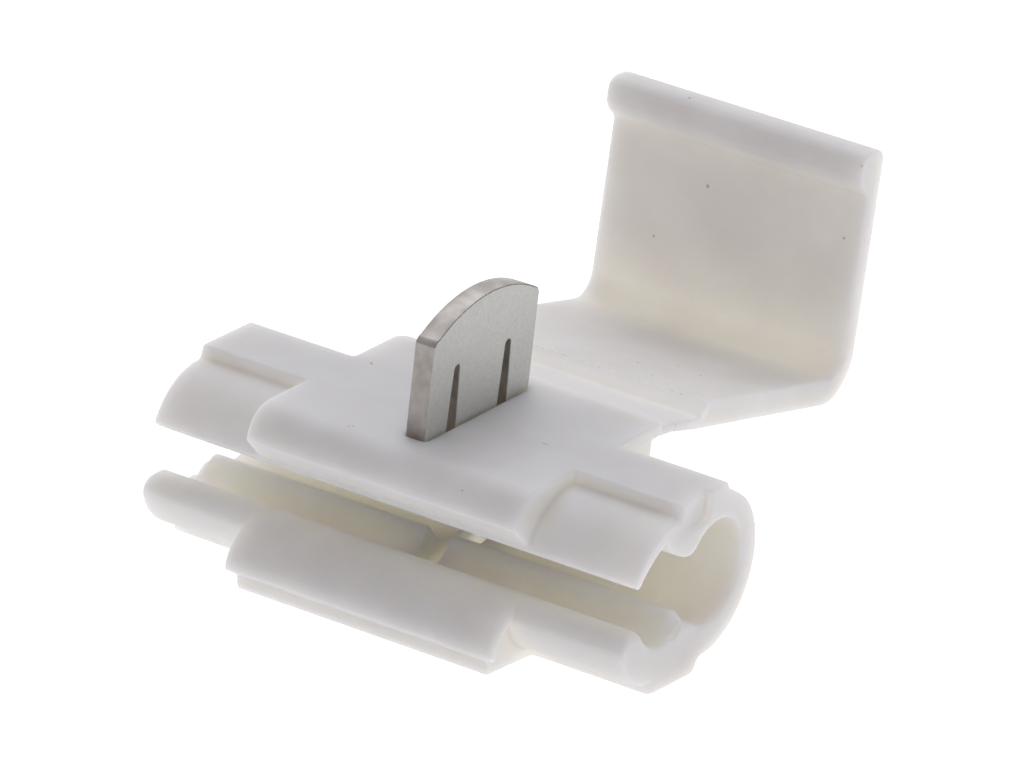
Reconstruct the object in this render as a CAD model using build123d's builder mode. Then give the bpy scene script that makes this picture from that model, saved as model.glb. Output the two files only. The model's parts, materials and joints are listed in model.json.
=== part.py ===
from build123d import *
import os
from math import acos, asin, atan2, cos, degrees, hypot, radians, sin, tan

os.makedirs("parts", exist_ok=True)

# Millimetres. Places are given as y, z on the view from the right end:
# y runs towards the hinge, z runs up, and 0, 0 is the back edge of the top strip.
# A cut runs past the plastic by past, and a piece reaches into its neighbour by root.
body_length = 25.0
clear = 0.1
past = 1.0
root = 0.4

# Two wire channels that meet in the middle
front_channel = (-4.2, -3.93)
rear_channel = (-0.45, -4.15)
front_channel_r = 2.55
rear_channel_r = 2.45
upper_lip = (-6.91, -3.06)
lower_lip = (-6.62, -5.1)
slit_front_y = -8.0
roof_top = (-4.9, -1.47)
roof_middle_angle = 135
roof_middle_r = 2.57
roof_ridge = [(-4.46, -1.97), (-3.69, -2.42), (-3.13, -2.65), (-2.61, -2.71), (-2.15, -2.48)]
roof_ridge_end_angle = 123.6
floor_ridge_end_angle = 219.0
floor_ridge_crest = (-2.76, -5.45)
floor_ridge_front = (-3.12, -5.68)
floor_ridge_flank = (-3.6, -6.23)
floor_valley = (-4.3, -6.47)
lower_lip_inner = (-6.36, -5.2)
floor_front = (-5.62, -6.05)

# Outside of the arms
front_roof_r = 3.3
front_roof_y = -4.15
front_roof_middle_angle = 125
lip_outer = (-7.3, -2.74)
strip_front_foot_y = -3.97
strip_front_y = -3.83
strip_back_foot = (0.17, -0.36)
rear_wall_centre = (-0.58, -4.3)
rear_wall_r = 3.82
rear_wall_end_y = -0.73
rear_wall_middle_angle = -30
bottom_strip_back = [(-0.95, -8.34), (-1.05, -8.62), (-1.27, -8.78)]
bottom_strip_front = (-4.9, -8.66)
jaw_bottom = (-5.05, -8.12)
jaw_bulge = (-7.02, -7.12)
jaw_front = (-7.72, -6.0)
jaw_round = (-7.42, -5.35)

# Ends of the arms
notch_front_y = -3.8
notch_back_y = -1.35
notch_inset = 0.35
notch_depth = 1.4
jaw_corner_r = 0.5
jaw_corner_end_y = -2.8
strip_corner_r = 0.8
strip_corner_front_y = -5.25
strip_corner_top_z = -8.0

# Platform over the middle, its nose and the rear block under it
platform_width = 13.95
platform_rear_y = 3.9
platform_rear_thick = 0.65
platform_thin_y = 2.7
platform_corner_r = 0.6
nose_top_y = -6.95
nose_round = (-8.1, -0.52)
nose_front = (-8.49, -1.54)
nose_foot = (-7.26, -2.67)
block_width = 13.06
block_rear_y = 3.7
block_rear_low_z = -6.0
block_slant = (1.65, -7.93)
block_bottom = (0.0, -8.34)

# Catch block that the cover snaps over: a ramp with a ledge, on a narrower slab
catch_width = 13.84
catch_round = 0.3
catch_ramp = [(-7.45, -5.25), (-8.3, -5.62), (-9.0, -6.2), (-9.38, -6.9)]
catch_ledge = [(-9.38, -7.38), (-8.82, -7.68)]
catch_skin = [(-8.75, -7.1), (-8.35, -6.5), (-7.7, -6.0), (-7.0, -5.7)]
slab_front = [(-8.84, -8.1), (-8.65, -8.43)]

# Thin hinge film between the platform and the cover
hinge_y = 5.0
hinge_slit = 0.1
film_width = 13.58
film_top_start_z = -0.33
film_top_hinge_z = -0.52
film_top_end = (7.3, -0.95)
film_under_start_z = -0.82
film_under_hinge_z = -0.98

# Cover: a plate, a bend, a leg and a hook bar
plate_slope = 11.25
plate_inner_z = -0.773
plate_inner_y = 10.0
plate_thick = 1.25
plate_front_y = 7.86
leg_lean = 3.0
leg_inner_y = 20.437
leg_thick = 1.03
bend_inner_r = 1.1
bend_outer_r = 2.2
hook = [(20.72, 5.95), (20.07, 6.5), (19.84, 6.9), (19.82, 7.4), (19.92, 7.84), (20.27, 8.07)]
hook_top = (21.07, 8.05)
hook_top_r = 3.0
hook_round = (21.6, 7.9)
leg_top = (21.86, 7.45)

# Contact plate: an arch on top and three legs
contact_thick = 1.0
contact_front_y = -5.86
contact_rear_y = 2.74
contact_front_shoulder_z = 4.3
contact_rear_shoulder_z = 4.5
contact_corner = 0.35
contact_corner_r = 0.42
arch_front_z = 4.6
arch_top = (-0.9, 5.72)
arch_rear_z = 4.86
contact_tip_z = -1.45
tip_chamfer = 0.3
rear_tip_chamfer = 1.35
press_travel = 5.75
slot_end_z = 2.9
slot_top_width = 0.46
slot_foot_width = 0.86
front_slot_y = -3.71
rear_slot_y = 0.5
lead_in = 0.35
lead_in_height = 0.5

# Tilt: the part rests on the bottom strip's back edge and on the underside of the cover's bend
slope = radians(plate_slope)
lean = radians(leg_lean)
plate_outer_z = plate_inner_z - plate_thick / cos(slope)
leg_outer_y = leg_inner_y + leg_thick / cos(lean)


def corner(z_at, y_at):
    """Place where the plate line through z_at meets the leg line through y_at."""
    y = (y_at + tan(lean) * (z_at + tan(slope) * plate_inner_y)) / (1 + tan(lean) * tan(slope))
    return (y, z_at - tan(slope) * (y - plate_inner_y))


def plate_line(y, z_at):
    """Place on a plate line at y."""
    return (y, z_at - tan(slope) * (y - plate_inner_y))


def on_circle(centre, radius, angle):
    """Place on a circle at an angle in degrees from y towards z."""
    return (centre[0] + radius * cos(radians(angle)), centre[1] + radius * sin(radians(angle)))


outer_corner = corner(plate_outer_z, leg_outer_y)
inner_corner = corner(plate_inner_z, leg_inner_y)
normal_y = cos(lean) - sin(slope)
normal_z = -sin(lean) - cos(slope)
spread = 1 - cos(lean) * sin(slope) + sin(lean) * cos(slope)
bend_y = outer_corner[0] - bend_outer_r * normal_y / spread
bend_z = outer_corner[1] - bend_outer_r * normal_z / spread
foot_y, foot_z = bottom_strip_back[-1]
reach = hypot(bend_y - foot_y, bend_z - foot_z)
tilt = atan2(bend_z - foot_z, bend_y - foot_y) - asin(bend_outer_r / reach)

# The side view's sketch plane, with the rear channel's axis on the origin
across = Vector(0, cos(tilt), -sin(tilt))
up = Vector(0, sin(tilt), cos(tilt))
zero = across * -rear_channel[0] + up * -rear_channel[1]
side = Plane(origin=zero, x_dir=across, z_dir=(1, 0, 0))
over = Plane(origin=zero, x_dir=(1, 0, 0), z_dir=up)
ahead = Plane(origin=zero, x_dir=(1, 0, 0), z_dir=across * -1)

# Values the outlines share
roof_ridge_end = on_circle(rear_channel, rear_channel_r, roof_ridge_end_angle)
floor_ridge_end = on_circle(rear_channel, rear_channel_r, floor_ridge_end_angle)
rear_channel_back = on_circle(rear_channel, rear_channel_r, 0)
lip_middle = on_circle(front_channel, roof_middle_r, roof_middle_angle)
front_roof_top = (front_roof_y, front_channel[1] + front_roof_r)
front_roof_middle = on_circle(front_channel, front_roof_r, front_roof_middle_angle)
step_y = strip_back_foot[0] - rear_wall_centre[0]
step_z = strip_back_foot[1] - rear_wall_centre[1]
tangent_angle = degrees(atan2(step_z, step_y) - acos(rear_wall_r / hypot(step_y, step_z)))
rear_wall_start = on_circle(rear_wall_centre, rear_wall_r, tangent_angle)
rear_wall_fall = (rear_wall_r**2 - (rear_wall_end_y - rear_wall_centre[0]) ** 2) ** 0.5
rear_wall_end = (rear_wall_end_y, rear_wall_centre[1] - rear_wall_fall)
rear_wall_back = on_circle(rear_wall_centre, rear_wall_r, rear_wall_middle_angle)
half_length = body_length / 2
film_end_y = hinge_y - hinge_slit / 2
cover_start_y = hinge_y + hinge_slit / 2
slot_front_y = contact_front_y - clear
slot_back_y = contact_rear_y + clear
slot_floor_z = contact_tip_z - press_travel - clear
slot_chamfer_y = contact_rear_y - rear_tip_chamfer
slot_chamfer_z = slot_floor_z + rear_tip_chamfer + clear
arch_front = (contact_front_y + contact_corner, arch_front_z)
arch_rear = (contact_rear_y - contact_corner, arch_rear_z)
front_shoulder = (contact_front_y, contact_front_shoulder_z)
rear_shoulder = (contact_rear_y, contact_rear_shoulder_z)

# Body
with BuildPart() as body:
    with BuildSketch(side) as arm_outline:
        with BuildLine():
            ThreePointArc(lip_outer, front_roof_middle, front_roof_top)
            Polyline(
                front_roof_top,
                (strip_front_foot_y, front_roof_top[1]),
                (strip_front_y, 0),
                (0, 0),
                strip_back_foot,
                rear_wall_start,
            )
            ThreePointArc(rear_wall_start, rear_wall_back, rear_wall_end)
            Polyline(rear_wall_end, *bottom_strip_back, bottom_strip_front, jaw_bottom)
            ThreePointArc(jaw_bottom, jaw_bulge, jaw_front)
            ThreePointArc(jaw_front, jaw_round, lower_lip)
            Polyline(lower_lip, upper_lip, lip_outer)
        make_face()
    extrude(amount=half_length, both=True)

    # Rounded ends of the lower jaw, seen from the front
    with BuildSketch(ahead.offset(-jaw_corner_end_y)) as jaw_ends:
        with Locations((0, foot_z - past)):
            Rectangle(
                body_length + 2 * past,
                front_channel[1] - foot_z + past,
                align=(Align.CENTER, Align.MIN),
            )
        with Locations((0, lower_lip[1])):
            RectangleRounded(
                body_length,
                lower_lip[1] - foot_z + 2 * past,
                jaw_corner_r,
                align=(Align.CENTER, Align.MAX),
                mode=Mode.SUBTRACT,
            )
    extrude(amount=jaw_corner_end_y - lip_outer[0] + past, mode=Mode.SUBTRACT)

    # Rounded front corners of the bottom strip, seen from above
    with BuildSketch(over.offset(strip_corner_top_z)) as strip_ends:
        with Locations((0, strip_corner_front_y - past)):
            Rectangle(
                body_length + 2 * past,
                strip_corner_r + past,
                align=(Align.CENTER, Align.MIN),
            )
        with Locations((0, strip_corner_front_y)):
            RectangleRounded(
                body_length,
                strip_corner_r * 4,
                strip_corner_r,
                align=(Align.CENTER, Align.MIN),
                mode=Mode.SUBTRACT,
            )
    extrude(amount=-past, mode=Mode.SUBTRACT)

    with BuildSketch(side) as platform_outline:
        with BuildLine():
            Polyline(
                lip_outer,
                upper_lip,
                (front_channel[0], front_roof_top[1] - root),
                (platform_thin_y, -platform_rear_thick),
                (platform_rear_y, -platform_rear_thick),
                (platform_rear_y, 0),
                (nose_top_y, 0),
            )
            ThreePointArc((nose_top_y, 0), nose_round, nose_front)
            Polyline(nose_front, nose_foot, lip_outer)
        make_face()
    extrude(amount=platform_width / 2, both=True)
    for end in (-1, 1):
        rear_corner = (platform_rear_y, -platform_rear_thick / 2, end * platform_width / 2)
        fillet(body.edges().sort_by_distance(side.from_local_coords(rear_corner))[0], platform_corner_r)

    with BuildSketch(side) as block_outline:
        with BuildLine():
            Polyline(
                (0, -platform_rear_thick),
                (block_rear_y, -platform_rear_thick),
                (block_rear_y, block_rear_low_z),
                block_slant,
                block_bottom,
                bottom_strip_back[0],
                (0, -platform_rear_thick),
            )
        make_face()
        with BuildLine():
            Polyline(
                lower_lip,
                *catch_skin[::-1],
                catch_ledge[-1],
                *slab_front,
                bottom_strip_front,
                (bottom_strip_front[0], jaw_bottom[1]),
                lower_lip,
            )
        make_face()
    extrude(amount=block_width / 2, both=True)

    with BuildSketch(side) as catch_outline:
        with BuildLine():
            Spline(lower_lip, *catch_ramp)
            Polyline(catch_ramp[-1], *catch_ledge, *catch_skin, lower_lip)
        make_face()
    extrude(amount=catch_width / 2, both=True)
    for end in (-1, 1):
        ramp_edge = (*catch_ramp[1], end * catch_width / 2)
        fillet(body.edges().sort_by_distance(side.from_local_coords(ramp_edge))[0], catch_round)

    with BuildSketch(side) as film_outline:
        with BuildLine():
            Polyline(
                (block_rear_y - root, film_top_start_z),
                (platform_rear_y, film_top_start_z),
                (film_end_y, film_top_hinge_z),
                (film_end_y, film_under_hinge_z),
                (block_rear_y, film_under_start_z),
                (block_rear_y - root, film_under_start_z),
                (block_rear_y - root, film_top_start_z),
            )
        make_face()
    extrude(amount=film_width / 2, both=True)

    # The two wire channels and the slit that opens them to the front
    with BuildSketch(side) as channel_outline:
        with BuildLine():
            ThreePointArc(upper_lip, lip_middle, roof_top)
            Line(roof_top, roof_ridge[0])
            Spline(roof_ridge)
            Line(roof_ridge[-1], roof_ridge_end)
            RadiusArc(roof_ridge_end, rear_channel_back, rear_channel_r)
            RadiusArc(rear_channel_back, floor_ridge_end, rear_channel_r)
            ThreePointArc(floor_ridge_end, floor_ridge_crest, floor_ridge_front)
            ThreePointArc(floor_ridge_front, floor_ridge_flank, floor_valley)
            ThreePointArc(floor_valley, floor_front, lower_lip_inner)
            Polyline(
                lower_lip_inner,
                lower_lip,
                (slit_front_y, lower_lip[1]),
                (slit_front_y, upper_lip[1]),
                upper_lip,
            )
        make_face()
    extrude(amount=half_length + past, both=True, mode=Mode.SUBTRACT)

    # Slot for the contact, down to the pocket its legs end in
    with BuildSketch(side) as slot_outline:
        with BuildLine():
            Polyline(
                (slot_front_y, past),
                (slot_front_y, slot_floor_z),
                (slot_chamfer_y, slot_floor_z),
                (slot_back_y, slot_chamfer_z),
                (slot_back_y, past),
                (slot_front_y, past),
            )
        make_face()
    extrude(amount=contact_thick / 2 + clear, both=True, mode=Mode.SUBTRACT)

    # Slanted notch in the right end of the roof, which the left end lacks
    with BuildSketch(over) as notch:
        with BuildLine():
            Polyline(
                (half_length, notch_front_y),
                (half_length - notch_inset, notch_back_y),
                (half_length + past, notch_back_y),
                (half_length + past, notch_front_y),
                (half_length, notch_front_y),
            )
        make_face()
    extrude(amount=-notch_depth, mode=Mode.SUBTRACT)
body.part.label = "body"
export_step(body.part, "parts/body.step")

# Cover: film end, plate, bend, leg and hook in one outline
plate_front = plate_line(plate_front_y, plate_inner_z)
plate_under = plate_line(film_top_end[0], plate_outer_z)
with BuildPart() as cover:
    with BuildSketch(side) as cover_outline:
        with BuildLine():
            FilletPolyline(plate_front, inner_corner, hook[0], radius=bend_inner_r)
            Polyline(*hook)
            RadiusArc(hook[-1], hook_top, hook_top_r)
            ThreePointArc(hook_top, hook_round, leg_top)
            FilletPolyline(leg_top, outer_corner, plate_under, radius=bend_outer_r)
            Polyline(
                plate_under,
                (cover_start_y, film_under_hinge_z),
                (cover_start_y, film_top_hinge_z),
                film_top_end,
                plate_front,
            )
        make_face()
    extrude(amount=film_width / 2, both=True)
cover.part.label = "cover"
export_step(cover.part, "parts/cover.step")

# Contact, shown pulled up as in the photograph
with BuildPart() as contact:
    with BuildSketch(side) as contact_outline:
        with BuildLine():
            Polyline(
                rear_shoulder,
                (contact_rear_y, contact_tip_z + rear_tip_chamfer),
                (contact_rear_y - rear_tip_chamfer, contact_tip_z),
                (contact_front_y + tip_chamfer, contact_tip_z),
                (contact_front_y, contact_tip_z + tip_chamfer),
                front_shoulder,
            )
            RadiusArc(front_shoulder, arch_front, contact_corner_r)
            ThreePointArc(arch_front, arch_top, arch_rear)
            RadiusArc(arch_rear, rear_shoulder, contact_corner_r)
        make_face()
        for slot_y in (front_slot_y, rear_slot_y):
            left_top = (slot_y - slot_top_width / 2, slot_end_z - slot_top_width / 2)
            right_top = (slot_y + slot_top_width / 2, slot_end_z - slot_top_width / 2)
            with BuildLine():
                Polyline(
                    left_top,
                    (slot_y - slot_foot_width / 2, contact_tip_z + lead_in_height),
                    (slot_y - slot_foot_width / 2 - lead_in, contact_tip_z),
                    (slot_y + slot_foot_width / 2 + lead_in, contact_tip_z),
                    (slot_y + slot_foot_width / 2, contact_tip_z + lead_in_height),
                    right_top,
                )
                ThreePointArc(right_top, (slot_y, slot_end_z), left_top)
            make_face(mode=Mode.SUBTRACT)
    extrude(amount=contact_thick / 2, both=True)
contact.part.label = "contact"
export_step(contact.part, "parts/contact.step")
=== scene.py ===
import json
import math

import bmesh
import bpy
import numpy as np
from mathutils import Matrix, Vector


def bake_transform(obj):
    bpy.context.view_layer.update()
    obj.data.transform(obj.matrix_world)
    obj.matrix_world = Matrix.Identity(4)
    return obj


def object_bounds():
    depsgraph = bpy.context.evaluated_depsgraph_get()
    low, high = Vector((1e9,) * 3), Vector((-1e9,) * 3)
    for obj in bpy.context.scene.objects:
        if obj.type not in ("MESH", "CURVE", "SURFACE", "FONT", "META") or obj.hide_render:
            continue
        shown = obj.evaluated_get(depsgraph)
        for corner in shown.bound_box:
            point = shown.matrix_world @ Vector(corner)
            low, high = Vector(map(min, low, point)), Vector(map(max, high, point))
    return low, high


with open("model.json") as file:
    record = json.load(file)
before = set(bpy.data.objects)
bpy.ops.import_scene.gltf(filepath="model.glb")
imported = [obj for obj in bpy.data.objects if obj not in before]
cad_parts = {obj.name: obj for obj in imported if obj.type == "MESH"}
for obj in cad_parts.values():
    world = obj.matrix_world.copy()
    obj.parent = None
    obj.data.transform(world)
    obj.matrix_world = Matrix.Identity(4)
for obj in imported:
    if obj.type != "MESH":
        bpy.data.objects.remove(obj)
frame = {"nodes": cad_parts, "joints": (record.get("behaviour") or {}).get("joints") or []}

cad_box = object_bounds()
MM = 0.001
BODY, COVER, CONTACT = (frame["nodes"][n] for n in ("body", "cover", "contact"))
PRESS = next(j for j in frame["joints"] if j["name"] == "contact_press")

# The part lies tipped back. Its own square directions, before the tip:
# over runs to the hinge, up out of the platform.
UP = -Vector(PRESS["axis"]).normalized()
OVER = UP.cross(Vector((1, 0, 0)))
# places on the side view, as over and up in millimetres
REAR_CHANNEL = (-0.45, -4.15)  # its centre is the row frame's origin
FILM_MIDDLE = (5.0, -0.75)
RIDGE_TOP = (-2.9, -5.75)
PLATE_FRONT_EDGE = (7.86, -0.347)


def on_side(over, up):
    """Row-frame Y and Z in metres of a place on the side view, given in millimetres."""
    y, z = over - REAR_CHANNEL[0], up - REAR_CHANNEL[1]
    return (y * OVER.y + z * UP.y) * MM, (y * OVER.z + z * UP.z) * MM


def side_mm(over, up):
    """The same place in millimetres of the row frame."""
    return tuple(value / MM for value in on_side(over, up))


def shade(code, alpha=1.0):
    """sRGB hex to the linear colour that the shaders take."""
    parts = [int(code[i : i + 2], 16) / 255 for i in (1, 3, 5)]
    return [p / 12.92 if p < 0.04045 else ((p + 0.055) / 1.055) ** 2.4 for p in parts] + [alpha]


def add(tree, kind, links=None, stops=None, values=None, **settings):
    """Adds one node. settings are its own properties, values its inputs, links its inputs' sources,
    and stops the (place, colour) pairs of a colour ramp."""
    node = tree.nodes.new(kind if "Node" in kind else "ShaderNode" + kind)
    for key, value in settings.items():
        setattr(node, key, value)
    for key, value in (values or {}).items():
        node.inputs[key].default_value = value
    for key, source in (links or {}).items():
        tree.links.new(source, node.inputs[key])
    if stops:
        (first, low), (last, high) = stops
        ends = node.color_ramp.elements
        ends[0].position, ends[0].color = first, shade(low)
        ends[1].position, ends[1].color = last, shade(high)
    return node


def new_material(name):
    """An empty node material and its tree."""
    material = bpy.data.materials.new(name)
    material.use_nodes = True
    material.node_tree.nodes.clear()
    return material, material.node_tree


def away_from_line(tree, place, start, stop):
    """Distance of a place from the straight run start to stop: |p - start - t (stop - start)|, with
    t = (p - start) . (stop - start) / |stop - start|^2 kept between 0 and 1."""
    run = stop - start
    offset = add(tree, "VectorMath", {0: place}, values={1: start}, operation="SUBTRACT").outputs[0]
    share = run / run.length_squared
    along = add(tree, "VectorMath", {0: offset}, values={1: share}, operation="DOT_PRODUCT")
    kept = add(tree, "Clamp", {"Value": along.outputs["Value"]})
    foot = add(tree, "VectorMath", {"Scale": kept.outputs[0]}, values={0: run}, operation="SCALE")
    gap = add(tree, "VectorMath", {0: offset, 1: foot.outputs[0]}, operation="DISTANCE")
    return gap.outputs["Value"]


def falling(tree, value, full_mm, none_mm, share):
    """share where value is under full_mm, nothing where it is over none_mm, even in between."""
    ends = {"From Min": full_mm * MM, "From Max": none_mm * MM, "To Min": share, "To Max": 0.0}
    return add(tree, "MapRange", {"Value": value}, values=ends).outputs[0]


def coloured(tree, share, under, code):
    """The colour under, replaced by code to the given share."""
    return add(tree, "MixRGB", {0: share, 1: under}, values={2: shade(code)}).outputs[0]


def moulded_polypropylene(name, dots, dirt_and_shadow_lines, glow_lines=()):
    """Natural polypropylene, injection moulded: milky white, see-through in thin walls, satin.
    Light wanders a few millimetres inside it, so edges glow; hollows are also painted brighter and
    warmer in the base colour, a painted glow.
    dots are specks of dirt as x, y, z and radius; the lines after them are two ends each: the first
    lines are darkened in grains, dirt along the mould's joint on the cover and a painted shadow in
    the gap under an edge on the body, and the second lines are painted lighter, a painted glow for
    light through thin plastic; all in millimetres."""
    material, tree = new_material(name)
    place = add(tree, "TexCoord").outputs["Object"]
    # how shut in a place is, out to 5 mm: hollows are painted brighter and warmer, a painted glow
    # for the light that gathers in them
    sky = add(tree, "AmbientOcclusion", samples=8, only_local=True, values={"Distance": 5 * MM})
    painted_glow_in_hollows = ((0.3, "#fffcf2"), (0.97, "#dbdad8"))
    depth = add(tree, "ValToRGB", {0: sky.outputs["AO"]}, stops=painted_glow_in_hollows)
    # clouds in the flow of the melt, 3 mm across
    cloud = add(tree, "TexNoise", {"Vector": place}, values={"Scale": 330, "Detail": 3})
    thick_and_thin = ((0.35, "#ece9ec"), (0.65, "#ffffff"))
    tint = add(tree, "ValToRGB", {0: cloud.outputs["Fac"]}, stops=thick_and_thin)
    # painted glow of the hollows, multiplied with the melt's clouds
    cloud_and_hollow_glow = add(
        tree,
        "MixRGB",
        {1: depth.outputs["Color"], 2: tint.outputs["Color"]},
        values={0: 0.3},
        blend_type="MULTIPLY",
    )
    # a few dark specks under 0.1 mm in the melt
    speck = add(tree, "TexVoronoi", {"Vector": place}, values={"Scale": 520})
    pick, spot = speck.outputs["Color"], speck.outputs["Distance"]
    rare = add(tree, "Math", {0: pick}, values={1: 0.965}, operation="GREATER_THAN")
    near = add(tree, "Math", {0: spot}, values={1: 0.07}, operation="LESS_THAN")
    dark = add(tree, "Math", {0: rare.outputs[0], 1: near.outputs[0]}, operation="MULTIPLY")
    marks_and_painted_light = coloured(tree, dark.outputs[0], cloud_and_hollow_glow.outputs[0], "#9a8f86")
    # painted glow: these lines are painted lighter, for light coming through the thin riser
    for start, stop in glow_lines:
        gap = away_from_line(tree, place, Vector(start) * MM, Vector(stop) * MM)
        marks_and_painted_light = coloured(tree, falling(tree, gap, 0.1, 0.6, 0.6), marks_and_painted_light, "#fbf9f6")
    for *where, radius in dots:
        centre = Vector(where) * MM
        gap = add(tree, "VectorMath", {0: place}, values={1: centre}, operation="DISTANCE")
        share = falling(tree, gap.outputs["Value"], 0.4 * radius, radius, 0.55)
        marks_and_painted_light = coloured(tree, share, marks_and_painted_light, "#6e5750")
    # dirt lies along the mould's joint in grains of 0.07 mm, and on the body the same grains draw a
    # painted shadow in the gap under the arm's strip edge
    dirt = add(tree, "TexNoise", {"Vector": place}, values={"Scale": 14000, "Detail": 1})
    grains = {"From Min": 0.5, "From Max": 0.62, "To Max": 0.5}
    patchy = add(tree, "MapRange", {"Value": dirt.outputs["Fac"]}, values=grains)
    for start, stop in dirt_and_shadow_lines:
        gap = away_from_line(tree, place, Vector(start) * MM, Vector(stop) * MM)
        share = falling(tree, gap, 0.02, 0.07, 1.0)
        here = add(tree, "Math", {0: share, 1: patchy.outputs[0]}, operation="MULTIPLY")
        marks_and_painted_light = coloured(tree, here.outputs[0], marks_and_painted_light, "#6b625c")
    # satin skin: 0.4 mm ripples left by the mould's polish
    ripple = add(tree, "TexNoise", {"Vector": place}, values={"Scale": 2500, "Detail": 2})
    height = {"Strength": 0.06, "Distance": 0.02 * MM}
    skin = add(tree, "Bump", {"Height": ripple.outputs["Fac"]}, values=height)
    gloss = add(
        tree, "MapRange", {"Value": cloud.outputs["Fac"]}, values={"To Min": 0.5, "To Max": 0.62}
    )
    # where the film's two halves stand inside its web no light comes through, so it stays on the
    # skin, and the base colour there is painted lighter, a painted glow for the light that the thin
    # film lets through
    fold = (Vector((x * MM, *on_side(*FILM_MIDDLE))) for x in (-6.8, 6.8))
    wander_away_from_glow = add(
        tree, "MapRange", {"Value": away_from_line(tree, place, *fold)},
        values={"From Min": 0.8 * MM, "From Max": 2.0 * MM},
    )
    marks_and_painted_light = add(
        tree, "MixRGB", {0: wander_away_from_glow.outputs[0], 2: marks_and_painted_light}, values={1: shade("#f3f0ec")}
    ).outputs[0]
    plastic = add(
        tree,
        "BsdfPrincipled",
        {
            "Base Color": marks_and_painted_light,
            "Normal": skin.outputs[0],
            "Roughness": gloss.outputs[0],
            "Subsurface Weight": wander_away_from_glow.outputs[0],
        },
        values={
            "IOR": 1.49,
            "Subsurface Radius": (1.0, 0.9, 0.74),
            "Subsurface Scale": 2.5 * MM,
        },
    )
    add(tree, "OutputMaterial", {"Surface": plastic.outputs[0]})
    return material


def tinned_brass():
    """Stamped tin-plated brass: dull grey and finely grained, a little brown where sheared."""
    material, tree = new_material("tinned_brass_stamped")
    place = add(tree, "TexCoord").outputs["Object"]
    # grain of the plating, 0.1 mm, and fainter clouds 1 mm across
    grain = add(
        tree, "TexNoise", {"Vector": place}, values={"Scale": 9000, "Detail": 4, "Roughness": 0.7}
    )
    patch = add(tree, "TexNoise", {"Vector": place}, values={"Scale": 900, "Detail": 3})
    tin = ((0.25, "#bcbcb7"), (0.75, "#d3d3ce"))
    tone = add(tree, "ValToRGB", {0: grain.outputs["Fac"]}, stops=tin)
    # sheared edges are the faces that look along the plate, so not to the left or right
    facing = add(tree, "SeparateXYZ", {0: add(tree, "NewGeometry").outputs["Normal"]})
    flat = add(tree, "Math", {0: facing.outputs["X"]}, operation="ABSOLUTE")
    sheared = add(tree, "Math", {0: flat.outputs[0]}, values={1: 0.5}, operation="LESS_THAN")
    brass = ((0.3, "#9a928a"), (0.65, "#bdb8b1"))
    edge = add(tree, "ValToRGB", {0: patch.outputs["Fac"]}, stops=brass)
    plain = add(tree, "MixRGB", {0: sheared.outputs[0], 1: tone.outputs[0], 2: edge.outputs[0]})
    # painted shadow: a dark line on upward faces where the arch meets the flat face, broken up by
    # the grain, for the shade under the die's burr
    corner = add(tree, "Math", {0: flat.outputs[0]}, values={1: 0.7, 2: 0.28}, operation="COMPARE")
    upward = add(tree, "Math", {0: facing.outputs["Z"]}, values={1: 0.12}, operation="GREATER_THAN")
    broken_by_grain = add(tree, "Math", {0: grain.outputs["Fac"]}, values={1: 0.42}, operation="GREATER_THAN")
    painted_burr_shadow = add(tree, "Math", {0: corner.outputs[0], 1: upward.outputs[0]}, operation="MULTIPLY")
    line = add(tree, "Math", {0: painted_burr_shadow.outputs[0], 1: broken_by_grain.outputs[0]}, operation="MULTIPLY")
    colour = coloured(tree, line.outputs[0], plain.outputs[0], "#6c6862")
    dull = {"To Min": 0.42, "To Max": 0.55}
    rub = add(tree, "MapRange", {"Value": patch.outputs["Fac"]}, values=dull)
    height = {"Strength": 0.15, "Distance": 0.01 * MM}
    dents = add(tree, "Bump", {"Height": grain.outputs["Fac"]}, values=height)
    metal = add(
        tree,
        "BsdfPrincipled",
        {"Base Color": colour, "Roughness": rub.outputs[0], "Normal": dents.outputs[0]},
        values={"Metallic": 0.85},
    )
    add(tree, "OutputMaterial", {"Surface": metal.outputs[0]})
    return material


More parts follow.
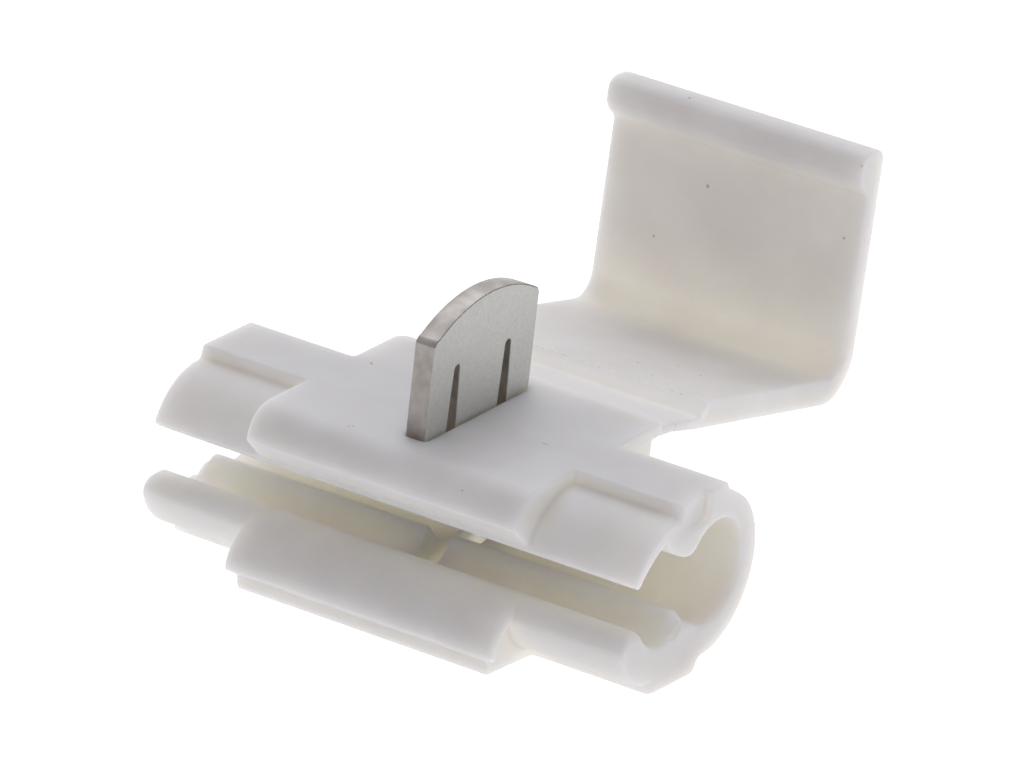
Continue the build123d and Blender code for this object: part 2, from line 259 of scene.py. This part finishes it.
def sink_ridge_ends(node):
    """Lets the ridge between the two channels run out at both ends of the body. A place moves down
    by depth * s((|x| - start) / (stop - start)) * s(1 - d / reach), with d its distance from the
    ridge's line and s the smooth step from 0 to 1. depth * 1.5 / reach stays under 1, so that no
    place overtakes the one below it. depth is in millimetres."""
    depth, reach, start, stop = 0.7, 1.2 * MM, 11.9 * MM, 12.25 * MM
    tree = bpy.data.node_groups.new("ridge_ends", "GeometryNodeTree")
    tree.interface.new_socket("Geometry", in_out="INPUT", socket_type="NodeSocketGeometry")
    tree.interface.new_socket("Geometry", in_out="OUTPUT", socket_type="NodeSocketGeometry")
    place = add(tree, "GeometryNodeInputPosition").outputs[0]
    ridge = Vector((0, *on_side(*RIDGE_TOP)))
    aside = add(tree, "VectorMath", {0: place}, values={1: ridge}, operation="SUBTRACT")
    parts = add(tree, "SeparateXYZ", {0: aside.outputs[0]})
    along = add(tree, "Math", {0: parts.outputs[0]}, operation="ABSOLUTE")
    flat = add(tree, "CombineXYZ", {1: parts.outputs[1], 2: parts.outputs[2]})
    gap = add(tree, "VectorMath", {0: flat.outputs[0]}, operation="LENGTH")
    late = add(
        tree, "MapRange", {"Value": along.outputs[0]}, interpolation_type="SMOOTHSTEP",
        values={"From Min": start, "From Max": stop},
    )
    near = add(
        tree, "MapRange", {"Value": gap.outputs["Value"]}, interpolation_type="SMOOTHSTEP",
        values={"From Min": 0.0, "From Max": reach, "To Min": 1.0, "To Max": 0.0},
    )
    share = add(tree, "Math", {0: late.outputs[0], 1: near.outputs[0]}, operation="MULTIPLY")
    sunk = UP * -depth * MM
    down = add(tree, "VectorMath", {"Scale": share.outputs[0]}, values={0: sunk}, operation="SCALE")
    into = add(tree, "NodeGroupInput")
    moved = add(
        tree, "GeometryNodeSetPosition", {"Geometry": into.outputs[0], "Offset": down.outputs[0]}
    )
    add(tree, "NodeGroupOutput", {0: moved.outputs[0]})
    node.modifiers.new("ridge_ends", "NODES").node_group = tree


def join_faces(node):
    """Joins the CAD faces' shared corners, 0.1 micrometre apart at most, into one skin."""
    weld = node.modifiers.new("join_faces", "WELD")
    weld.merge_threshold = 1e-7


def soften(node, grain_mm, rounds, share):
    """Rounds a moulding's edges as its mould does: the solid is filled with cells of grain_mm,
    its skin is evened out rounds times, and share of the faces is kept."""
    join_faces(node)
    skin = node.modifiers.new("even_skin", "REMESH")
    skin.mode = "VOXEL"
    skin.voxel_size = grain_mm * MM
    skin.use_smooth_shade = True
    ease = node.modifiers.new("soft_edges", "SMOOTH")
    ease.factor = 0.5
    ease.iterations = rounds
    if node is BODY:
        sink_ridge_ends(node)
    thin = node.modifiers.new("fewer_faces", "DECIMATE")
    thin.ratio = share


def ease_edges(node, radius_mm):
    """Breaks a stamped plate's edges by radius_mm."""
    join_faces(node)
    plain = node.modifiers.new("plain_faces", "DECIMATE")
    plain.decimate_type = "DISSOLVE"
    plain.angle_limit = math.radians(1)
    ease = node.modifiers.new("broken_edges", "BEVEL")
    ease.width = radius_mm * MM
    ease.segments = 2
    ease.limit_method = "ANGLE"
    ease.angle_limit = math.radians(30)


def even_normals(mesh):
    """Turns every face of a closed mesh outwards and shades it smoothly."""
    shell = bmesh.new()
    shell.from_mesh(mesh)
    bmesh.ops.recalc_face_normals(shell, faces=shell.faces)
    shell.to_mesh(mesh)
    shell.free()
    mesh.polygons.foreach_set("use_smooth", np.ones(len(mesh.polygons), bool))


def hinge_web():
    """The film's middle, where it folds. A profile carried along a path: at each place y across
    the hinge the section is a flat bar of width 2w whose ends are half ellipses, so
    x = side * (w - r) + r * cos(a) and z = middle(y) + half(y) * sin(a), with a once round.
    middle and half follow the film's faces, 0.005 mm outside them but sunk 0.04 mm at the web's
    own two ends, and a crease of depth d * exp(-((y - 5) / 0.05)^2) runs along the top."""
    mid = FILM_MIDDLE[0]
    near, far = mid - 0.4, mid + 0.4
    over = np.linspace(near, far, 81)
    proud = np.interp(np.abs(over - mid), (0.28, 0.36), (0.005, -0.04))
    top = np.interp(over, (3.9, 4.95, 5.05, 7.3), (-0.33, -0.52, -0.52, -0.95)) + proud
    under = np.interp(over, (3.7, 4.95, 5.05, 7.3), (-0.82, -0.98, -0.98, -1.51)) - proud
    creases = np.exp(-(((over - mid) / 0.05) ** 2))
    turn = np.radians(np.linspace(-90, 90, 13))
    flat = np.linspace(-1, 1, 25)[1:-1]
    width, end = 6.77, 0.2
    x = np.concatenate([
        width - end + end * np.cos(turn), flat[::-1] * (width - end),
        -(width - end) - end * np.cos(turn), flat * (width - end),
    ])
    lift = np.concatenate([np.sin(turn), np.ones(len(flat)), -np.sin(turn), -np.ones(len(flat))])
    middle, half = (top + under) / 2, (top - under) / 2
    rise = middle[:, None] + half[:, None] * lift - 0.008 * creases[:, None] * (lift > 0.9)
    rows, columns = rise.shape
    ahead, height = on_side(over[:, None] + 0 * rise, rise)
    corners = np.stack([np.broadcast_to(x * MM, rise.shape), ahead, height], axis=-1).reshape(-1, 3)
    first = np.arange(rows - 1)[:, None] * columns + np.arange(columns)
    beside = np.arange(rows - 1)[:, None] * columns + (np.arange(columns) + 1) % columns
    sides = np.stack([first, beside, beside + columns, first + columns], axis=-1).reshape(-1, 4)
    ends = [list(range(columns))[::-1], list(range((rows - 1) * columns, rows * columns))]
    mesh = bpy.data.meshes.new("hinge_web")
    mesh.from_pydata(corners.tolist(), [], sides.tolist() + ends)
    even_normals(mesh)
    piece = bpy.data.objects.new("hinge_web", mesh)
    bpy.context.scene.collection.objects.link(piece)
    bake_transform(piece)
    return piece


def dress(node, material):
    """Gives a node its material."""
    node.data.materials.clear()
    node.data.materials.append(material)


def table_and_light(lowest):
    """A plain white light table under the part, in a light tent that is brighter at the back."""
    size = 3.0
    mesh = bpy.data.meshes.new("table")
    corners = [(x * size, y * size, lowest) for x, y in ((-1, -1), (1, -1), (1, 1), (-1, 1))]
    mesh.from_pydata(corners, [], [(0, 1, 2, 3)])
    table = bpy.data.objects.new("table", mesh)
    bpy.context.scene.collection.objects.link(table)
    material, tree = new_material("pale_table")
    matt = add(
        tree,
        "BsdfPrincipled",
        values={
            "Base Color": shade("#fbfafa"),
            "Roughness": 0.9,
            "Emission Color": shade("#ffffff"),
            "Emission Strength": 0.5,
        },
    )
    add(tree, "OutputMaterial", {"Surface": matt.outputs[0]})
    mesh.materials.append(material)
    world = bpy.data.worlds.new("light_tent")
    world.use_nodes = True
    sky = world.node_tree
    # brightness grows from the front right to the back left
    look = add(sky, "TexCoord").outputs["Generated"]
    aside = add(sky, "VectorMath", {0: look}, values={1: (-0.3, 0.8, 0.1)}, operation="DOT_PRODUCT")
    share = add(sky, "MapRange", {"Value": aside.outputs["Value"]}, values={"From Min": -1.0})
    tent = add(sky, "ValToRGB", {0: share.outputs[0]}, stops=((0.0, "#a3a2b0"), (1.0, "#ffffff")))
    sky.links.new(tent.outputs[0], sky.nodes["Background"].inputs[0])
    sky.nodes["Background"].inputs[1].default_value = 0.78
    bpy.context.scene.world = world
    bpy.context.scene.view_settings.view_transform = "Standard"
    data = bpy.data.lights.new("back_left", "AREA")
    data.size = 0.4
    data.energy = 1.1
    data.color = shade("#f0f2ff")[:3]
    lamp = bpy.data.objects.new("back_left", data)
    lamp.location = (-0.25, 0.45, 0.45)
    lamp.rotation_euler = (-lamp.location).to_track_quat("-Z", "Y").to_euler()
    bpy.context.scene.collection.objects.link(lamp)


def photographers_camera():
    """The photograph's view: its direction, distance and roll, as fitted to the part's corners."""
    azimuth, elevation, roll = (math.radians(a) for a in (33.13, 33.66, -1.41))
    aim = Vector((-0.741, 4.635, 2.663)) * MM
    away = 402.76 * MM
    back = Vector((
        math.sin(azimuth) * math.cos(elevation),
        -math.cos(azimuth) * math.cos(elevation),
        math.sin(elevation),
    ))
    right = Vector((0, 0, 1)).cross(back).normalized()
    top = back.cross(right)
    turned_right = right * math.cos(roll) + top * math.sin(roll)
    turned_top = back.cross(turned_right)
    data = bpy.data.cameras.new("camera")
    data.sensor_width = 36
    data.lens = 319.6
    data.clip_start = 0.01
    data.clip_end = 20
    camera = bpy.data.objects.new("camera", data)
    bpy.context.scene.collection.objects.link(camera)
    place = aim + back * away
    camera.matrix_world = Matrix((
        (turned_right.x, turned_top.x, back.x, place.x),
        (turned_right.y, turned_top.y, back.y, place.y),
        (turned_right.z, turned_top.z, back.z, place.z),
        (0, 0, 0, 1),
    ))
    bpy.context.scene.camera = camera


photographers_camera()
table_and_light(cad_box[0].z)

# Specks, soiled mould joints, a painted shadow line and a painted glow line as the photograph shows
# them, in row-frame millimetres.
# A dot is x, y, z and radius, a line its two ends.
BODY_DOTS = (
    # nose
    (4.29, -6.37, 5.64, 0.09), (4.95, -6.24, 5.84, 0.07), (3.95, -6.66, 5.22, 0.07),
    (-2.71, -5.39, 5.56, 0.07), (-2.6, -5.25, 5.53, 0.07),
    # platform
    (-5.92, 1.24, 3.97, 0.1), (-5.8, 1.1, 4.0, 0.07), (4.45, -0.88, 4.48, 0.09),
    (4.62, -0.86, 4.48, 0.07),
    # left jaw
    (-11.52, -8.2, 0.98, 0.09),
)
COVER_DOTS = (
    # plate
    (1.43, 11.65, 0.53, 0.09), (3.0, 10.39, 1.11, 0.08), (2.55, 13.35, -0.25, 0.08),
    (3.95, 12.99, -0.08, 0.08),
    # leg
    (-1.4, 22.43, 3.09, 0.12), (-3.8, 21.55, 0.09, 0.08), (5.88, 22.32, 2.71, 0.09),
    (0.95, 20.73, -2.68, 0.08),
    # hook bar
    (-2.75, 23.1, 6.99, 0.12), (6.7, 22.47, 6.75, 0.1),
)
arm_edge, riser_middle = side_mm(0.05, 0.0), side_mm(7.55, -0.65)
plate_edge, plate_side = side_mm(*PLATE_FRONT_EDGE), [side_mm(7.9, -0.355), side_mm(15.5, -1.87)]
# painted shadow: a dark grained line along the arm's strip edge, for the shade in the gap under it
BODY_PAINTED_SHADOW_LINES = (((7.0, *arm_edge), (8.7, *arm_edge)),)
COVER_SEAMS = (
    ((-6.6, *plate_edge), (6.7, *plate_edge)),
    ((6.78, *plate_side[0]), (6.78, *plate_side[1])),
)
# painted glow along the riser's middle, for light coming through the thin plastic there
PAINTED_GLOW_LINES = (((-6.8, *riser_middle), (6.8, *riser_middle)),)

plastic = moulded_polypropylene("natural_polypropylene_moulded", BODY_DOTS, BODY_PAINTED_SHADOW_LINES)
cover_plastic = moulded_polypropylene(
    "natural_polypropylene_moulded_cover", COVER_DOTS, COVER_SEAMS, PAINTED_GLOW_LINES
)
metal = tinned_brass()
dress(BODY, plastic)
dress(COVER, cover_plastic)
dress(CONTACT, metal)
soften(BODY, 0.08, 20, 0.3)
soften(COVER, 0.07, 24, 0.3)
ease_edges(CONTACT, 0.05)
dress(hinge_web(), plastic)
